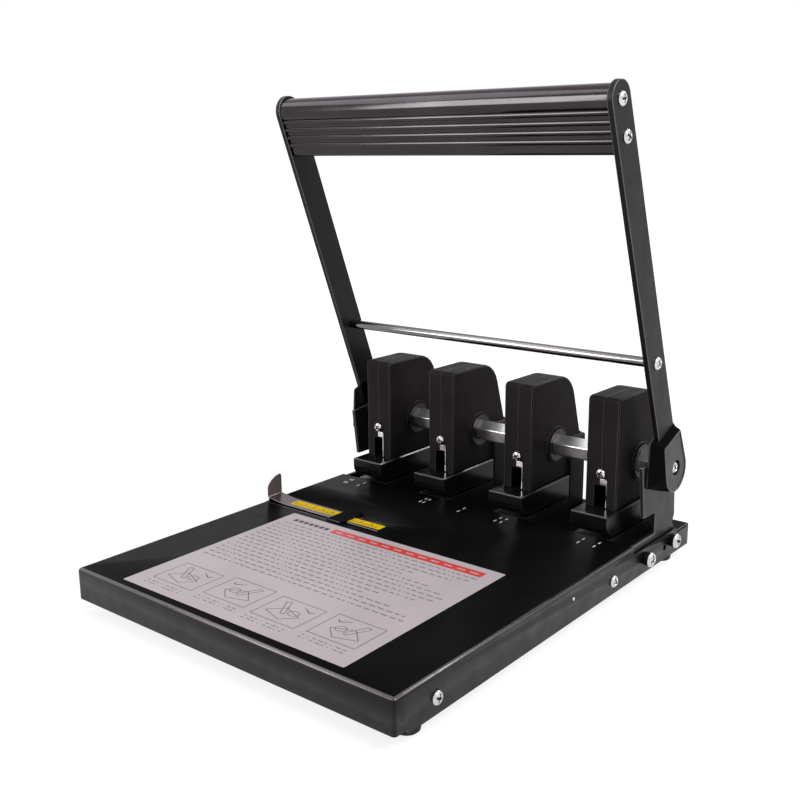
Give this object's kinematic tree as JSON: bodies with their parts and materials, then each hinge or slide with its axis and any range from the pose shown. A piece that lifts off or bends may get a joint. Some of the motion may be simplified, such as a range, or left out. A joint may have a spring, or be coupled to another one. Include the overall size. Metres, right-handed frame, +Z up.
{
  "type": "heavy duty four-hole punch",
  "caption": "Desk punch for thick stacks: a paper table with a row of punching heads that one long hinged lever drives through a hexagonal shaft.",
  "frame": {"origin": "middle of the base at the undersides of the feet", "axes": "+Y from the front skirt to the rear deck, +X to the right, +Z up"},
  "size_m": [0.333, 0.4036, 0.3924],
  "materials": {
    "black_paint": "black powder coat, satin",
    "head_casing": "black moulding, semi-gloss",
    "black_anodised": "black anodised extrusion",
    "dark_steel": "blackened",
    "satin_steel": "drawn, lightly scratched",
    "bright_screw": "bright nickel",
    "chrome": "polished",
    "foot_rubber": "matt"
  },
  "bodies": {
    "base": {"paper_table": "black_paint", "rear_deck": "black_paint", "bottom_plate": "black_paint", "bracket_left": "black_paint", "bracket_right": "black_paint", "guide_clamp": "head_casing", "foot_front_left": "foot_rubber", "foot_front_right": "foot_rubber", "foot_rear_left": "foot_rubber", "foot_rear_right": "foot_rubber", "bracket_screw_left_front": "bright_screw", "bracket_screw_left_rear": "bright_screw", "bracket_screw_right_front": "bright_screw", "bracket_screw_right_rear": "bright_screw", "head_1_shell_left": "head_casing", "head_1_shell_right": "head_casing", "head_1_shoe": "black_paint", "head_1_die_block": "dark_steel", "head_1_screw": "bright_screw", "head_2_shell_left": "head_casing", "head_2_shell_right": "head_casing", "head_2_shoe": "black_paint", "head_2_die_block": "dark_steel", "head_2_screw": "bright_screw", "head_3_shell_left": "head_casing", "head_3_shell_right": "head_casing", "head_3_shoe": "black_paint", "head_3_die_block": "dark_steel", "head_3_screw": "bright_screw", "head_4_shell_left": "head_casing", "head_4_shell_right": "head_casing", "head_4_shoe": "black_paint", "head_4_die_block": "dark_steel", "head_4_screw": "bright_screw"},
    "lever": {"drive_shaft": "satin_steel", "lever_arm_left": "black_paint", "lever_arm_right": "black_paint", "grip": "black_anodised", "cross_rod": "chrome", "hub_cover_left": "head_casing", "hub_cover_right": "head_casing", "hub_screw_left": "bright_screw", "hub_screw_right": "bright_screw", "cross_rod_screw_left": "bright_screw", "cross_rod_screw_right": "bright_screw", "grip_lower_screw_left": "bright_screw", "grip_lower_screw_right": "bright_screw", "grip_upper_screw_left": "bright_screw", "grip_upper_screw_right": "bright_screw", "shaft_bush_left": "head_casing", "shaft_bush_right": "head_casing", "head_1_pinion": "dark_steel", "head_2_pinion": "dark_steel", "head_3_pinion": "dark_steel", "head_4_pinion": "dark_steel"},
    "paper_guide": {"guide_strip": "satin_steel"},
    "ram_1": {"head_1_punch_ram": "satin_steel"},
    "ram_2": {"head_2_punch_ram": "satin_steel"},
    "ram_3": {"head_3_punch_ram": "satin_steel"},
    "ram_4": {"head_4_punch_ram": "satin_steel"}
  },
  "joints": [
    {"name": "lever_swing", "type": "hinge", "parent": "base", "child": "lever", "pos_m": [0, 0.1532, 0.0912], "axis": [1, 0, 0], "range_deg": [0, 66], "stiffness_Nm_per_rad": 2.5, "springref_deg": -57.3},
    {"name": "ram_1_stroke", "type": "slide", "parent": "base", "child": "ram_1", "axis": [0, 0, -1], "range_m": [0, 0.0175]},
    {"name": "ram_2_stroke", "type": "slide", "parent": "base", "child": "ram_2", "axis": [0, 0, -1], "range_m": [0, 0.0175]},
    {"name": "ram_3_stroke", "type": "slide", "parent": "base", "child": "ram_3", "axis": [0, 0, -1], "range_m": [0, 0.0175]},
    {"name": "ram_4_stroke", "type": "slide", "parent": "base", "child": "ram_4", "axis": [0, 0, -1], "range_m": [0, 0.0175]},
    {"name": "guide_slide", "type": "slide", "parent": "base", "child": "paper_guide", "axis": [-1, 0, 0], "range_m": [0, 0.04]}
  ],
  "couplings": [
    {"joint": "ram_1_stroke", "follows": "lever_swing", "m_per_rad": 0.015},
    {"joint": "ram_2_stroke", "follows": "lever_swing", "m_per_rad": 0.015},
    {"joint": "ram_3_stroke", "follows": "lever_swing", "m_per_rad": 0.015},
    {"joint": "ram_4_stroke", "follows": "lever_swing", "m_per_rad": 0.015}
  ]
}
